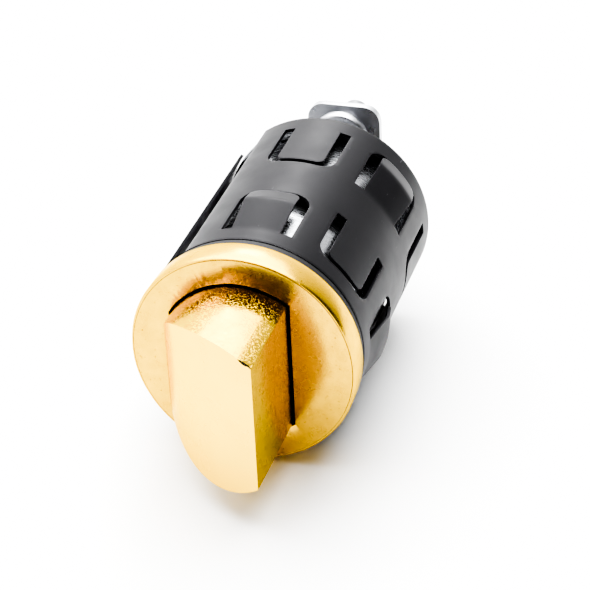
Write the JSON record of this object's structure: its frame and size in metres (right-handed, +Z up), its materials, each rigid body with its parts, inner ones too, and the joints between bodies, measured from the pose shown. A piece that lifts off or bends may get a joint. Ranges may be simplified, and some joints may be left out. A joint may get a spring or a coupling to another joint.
{
  "type": "selector switch knob unit",
  "caption": "Panel selector unit: a gold thumb knob turns in a round bezel, on a barrel held in its panel hole by a split spring sleeve, and swings a tail cam.",
  "frame": {"origin": "on the switch axis, in the plane where the bezel's back rests on the panel", "axes": "-Y out of the panel towards the user and the knob, +Y along the switch axis into the panel, +Z up, +X to the user's right"},
  "size_m": [0.0312, 0.0711, 0.0308],
  "materials": {
    "gold_bezel": "satin gold plating, finely grained",
    "gold_knob": "satin gold plating over a cast surface, grainy on its ends",
    "nickel_barrel": "bright nickel plating",
    "blackened_spring_steel": "satin black oxide",
    "black_rubber": "matte",
    "bronze": "oiled sintered bronze",
    "bright_zinc_cam": "bright zinc plating",
    "steel_fixings": "plain steel"
  },
  "bodies": {
    "housing": {"bezel_ring": "gold_bezel", "panel_gasket": "black_rubber", "barrel": "nickel_barrel", "mounting_sleeve": "blackened_spring_steel", "front_bush": "bronze", "rear_bush": "bronze", "spacer_tube": "steel_fixings", "shaft_seal": "black_rubber", "stop_pin": "steel_fixings", "end_plate": "nickel_barrel", "end_screws": "steel_fixings"},
    "rotor": {"dial": "gold_bezel", "knob": "gold_knob", "knob_screws": "steel_fixings", "dial_pins": "steel_fixings", "hub": "nickel_barrel", "hub_pin": "steel_fixings", "spindle": "steel_fixings", "thrust_washer": "bronze", "circlip": "blackened_spring_steel", "tail_cam": "bright_zinc_cam", "drive_stud": "bright_zinc_cam", "cam_washer": "steel_fixings", "cam_screw": "steel_fixings"}
  },
  "joints": [
    {"name": "knob_turn", "type": "hinge", "parent": "housing", "child": "rotor", "pos_m": [0, 0, 0], "axis": [0, 1, 0], "range_deg": [0, 90]}
  ]
}
